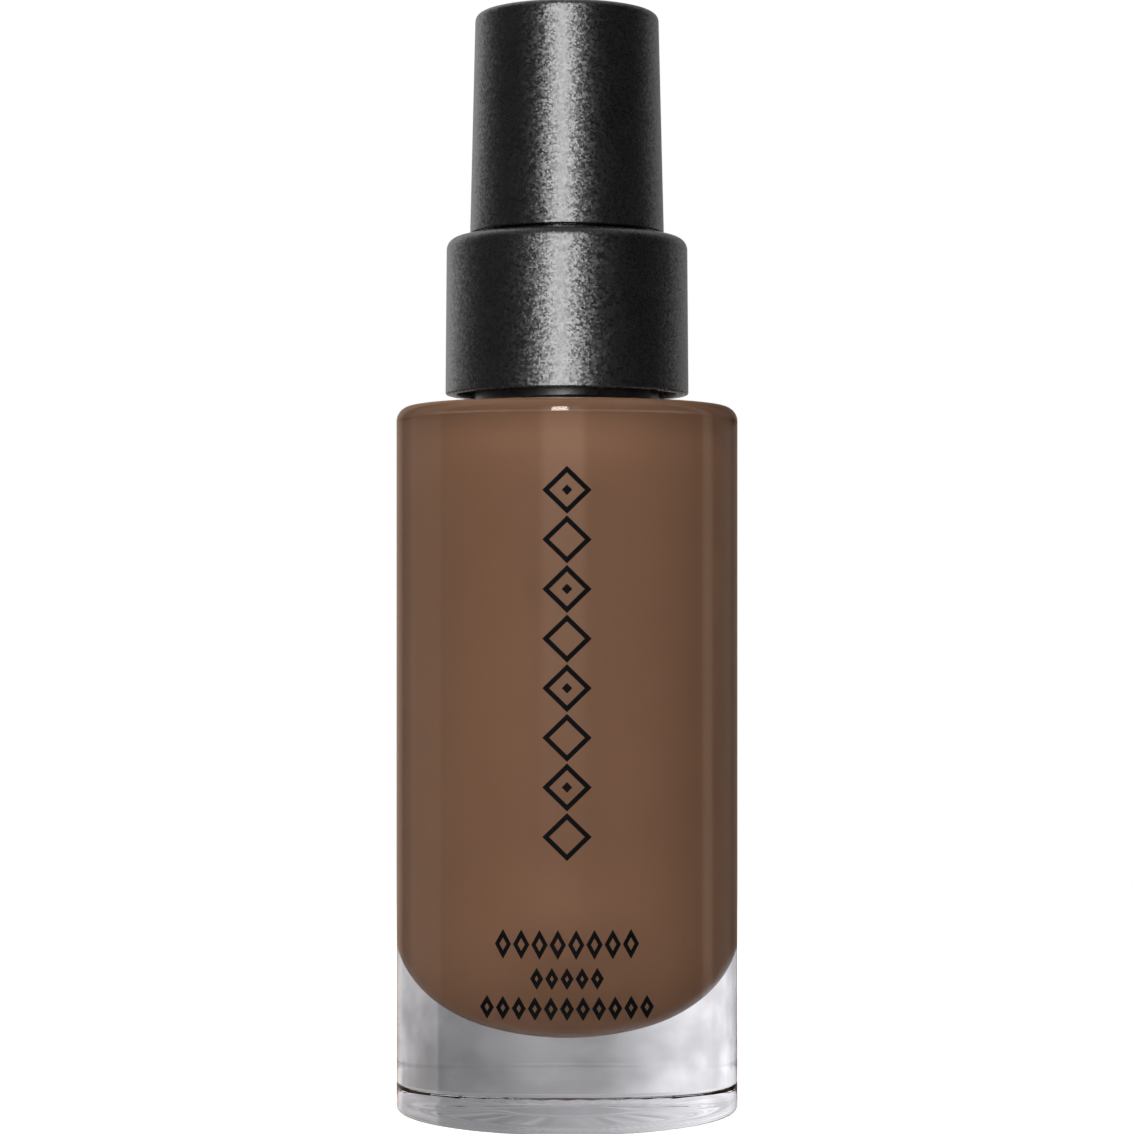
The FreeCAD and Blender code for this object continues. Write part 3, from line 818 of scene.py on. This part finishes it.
def make_studio():
    """A white studio with a tall soft strip light in front and white screens behind.

    Sharp reflections in the glass see the strip dimmed and cut off low down, as if a flag stood there.
    Angles are in degrees. Azimuth is 0 towards the camera and positive to the right.
    """
    world = bpy.data.worlds.new("studio")
    bpy.context.scene.world = world
    world.use_nodes = True
    nodes = Nodes(world.node_tree)
    direction = nodes.add("ShaderNodeTexCoord").outputs["Generated"]
    x, y, z = nodes.add("ShaderNodeSeparateXYZ", {0: direction}).outputs
    azimuth = nodes.maths("DEGREES", nodes.maths("ARCTAN2", x, nodes.maths("MULTIPLY", y, -1.0)))
    elevation = nodes.maths("DEGREES", nodes.maths("ARCSINE", z))
    path = nodes.add("ShaderNodeLightPath").outputs

    def product(first, *others):
        for other in others:
            first = nodes.maths("MULTIPLY", first, other)
        return first

    def switch(state, off, on):
        return nodes.add("ShaderNodeMix", {0: state, 2: off, 3: on}).outputs[0]

    def switch_colour(state, off, on):
        return nodes.add("ShaderNodeMix", {0: state, 6: off, 7: on}, data_type="RGBA").outputs[2]

    def glow(colour, strength):
        return nodes.add("ShaderNodeBackground", {"Color": colour, "Strength": strength}).outputs[0]

    # direct is a ray that hasn't met a matte surface, sharp is one of those that clear glass has just
    # reflected or let through, and outside is one that hasn't been through glass
    direct = nodes.maths("LESS_THAN", path["Diffuse Depth"], 0.5)
    sharp = product(path["Is Singular Ray"], direct)
    outside = nodes.maths("LESS_THAN", path["Transmission Depth"], 0.5)
    through = path["Is Transmission Ray"]

    # How bright the room is by azimuth: as satin and painted surfaces see it, as sharp reflections on the
    # glass see it, and as it is seen through the glass
    turn = nodes.maths("MULTIPLY_ADD", azimuth, 1 / 360, 0.5)

    def room(levels):
        stops = [((angle + 180) / 360, grey(level)) for angle, level in levels]
        return nodes.add("ShaderNodeRGBToBW", {0: nodes.ramp(turn, stops)}).outputs[0]

    soft_room = room([
        (-180, 1.1), (-166, 0.5), (-151, 0.85), (-140, 0.9), (-125, 0.6), (-112, 0.3), (-100, 0.14),
        (-85, 0.06), (-60, 0.03), (-30, 0.02), (30, 0.01), (62, 0.01), (90, 0.03), (112, 0.12), (130, 0.4),
        (143, 0.42), (166, 0.35), (180, 1.1),
    ])
    mirrored_room = room([
        (-180, 0.4), (-163, 0.4), (-152, 0.36), (-144, 0.12), (-134, 0.16), (-126, 0.36), (-95, 0.36),
        (-92, 0.02), (0, 0.01), (101, 0.02), (105, 0.55), (112, 0.55), (116, 0.1), (139, 0.16), (148, 0.02),
        (180, 0.3),
    ])
    room_behind = room([
        (-180, 0.38), (-172, 0.4), (-163, 0.53), (-151, 0.79), (-140, 0.95), (-122, 1.0), (-100, 1.0),
        (-80, 0.75), (-50, 0.4), (50, 0.4), (80, 0.8), (100, 0.8), (120, 0.54), (138, 0.36), (143.6, 0.36),
        (144.4, 0.26), (151, 0.25), (166, 0.28), (180, 0.38),
    ])

    # Behind the glass there is more contrast low down, and the screens hang in faint level folds
    low_down = nodes.smooth(elevation, -8.6, -6.6, 1.0, 0.0)
    contrast = nodes.maths("MULTIPLY_ADD", low_down, 0.35, 1.0)
    gain = nodes.maths("MULTIPLY_ADD", low_down, 0.15, 1.0)
    flattened = nodes.vector_maths("MULTIPLY", {0: direction, 1: (1.0, 1.0, 22.0)})
    folds = nodes.smooth(nodes.noise(2.2, 3.0, flattened), 0.3, 0.7, 0.75, 1.28)
    room_behind = product(nodes.maths("POWER", room_behind, contrast), gain, folds)
    room_level = switch(sharp, soft_room, switch(through, mirrored_room, room_behind))

    def beam(centre, full, edge):
        away = nodes.maths("ABSOLUTE", nodes.maths("SUBTRACT", azimuth, centre))
        return nodes.smooth(away, full, edge, 1.0, 0.0)

    def above(low, high, level=1.0):
        return nodes.smooth(elevation, low, high, 0.0, level)

    def below(low, high):
        return nodes.smooth(elevation, low, high, 1.0, 0.0)

    # The strip light: as satin surfaces see it, flagged for sharp reflections, and spread for bounced light
    key_level, flagged_level, spread_level, top_level = 8.2, 1.0, 3.0, 0.3
    key = product(beam(-6.0, 2.0, 25.0), above(-32.0, -16.0, key_level))
    flagged = product(beam(-2.5, 10.0, 18.0), above(-6.5, 3.5, flagged_level))
    spread = product(beam(-6.0, 20.0, 90.0), above(-32.0, 0.0, spread_level))
    strip = product(switch(direct, spread, switch(sharp, key, flagged)), below(40.0, 55.0))
    top = above(38.0, 62.0, top_level)
    light = nodes.maths("ADD", nodes.maths("ADD", room_level, strip), top)
    bounced_gain, bounced_base = switch(direct, 1.4, 1.0), switch(direct, 0.08, 0.0)
    light = nodes.maths("MULTIPLY_ADD", light, bounced_gain, bounced_base)

    # A small lamp and a thin bar, which only the outside of the glass reflects, as a spark and a line
    lamp_level, bar_level = 16.0, 1.3
    lamp = product(beam(-5.0, 4.0, 7.0), above(12.0, 15.0, lamp_level), below(40.0, 43.0))
    bar = product(beam(-3.0, 70.0, 120.0), above(8.0, 10.0, bar_level), below(18.0, 22.0))
    glints = product(nodes.maths("ADD", lamp, bar), product(sharp, outside))

    warm, cool, pale = (1.0, 0.7, 0.53, 1.0), (0.975, 0.965, 1.01, 1.0), (1.0, 0.88, 0.8, 1.0)
    tint = switch_colour(sharp, grey(1.0), switch_colour(through, warm, cool))
    lit = nodes.add("ShaderNodeAddShader", {0: glow(tint, light), 1: glow(pale, glints)}).outputs[0]
    white = glow(grey(1.0), 1.0)
    mix = nodes.add("ShaderNodeMixShader", {0: path["Is Camera Ray"], 1: lit, 2: white})
    output = nodes.add("ShaderNodeOutputWorld")
    world.node_tree.links.new(mix.outputs[0], output.inputs["Surface"])


def make_camera():
    data = bpy.data.cameras.new("camera")
    data.lens = CAMERA_LENS
    data.sensor_width = CAMERA_SENSOR
    data.shift_y = CAMERA_SHIFT_UP
    data.clip_start = 10 * MM
    camera = bpy.data.objects.new("camera", data)
    camera.location = (0, -CAMERA_DISTANCE, CAMERA_HEIGHT)
    camera.rotation_euler = (math.pi / 2, 0, 0)
    bpy.context.scene.collection.objects.link(camera)
    bpy.context.scene.camera = camera


SATIN = satin_black()
SMOOTH = smooth_black()
INK = dark_ink()
STEEL = bright_steel()
make_bottle()
make_liquid()
make_print()
make_collar()
make_overcap()
make_head()
make_spring()
paint_frame()
make_floor()
make_studio()
make_camera()
bpy.context.scene.view_settings.view_transform = "Standard"
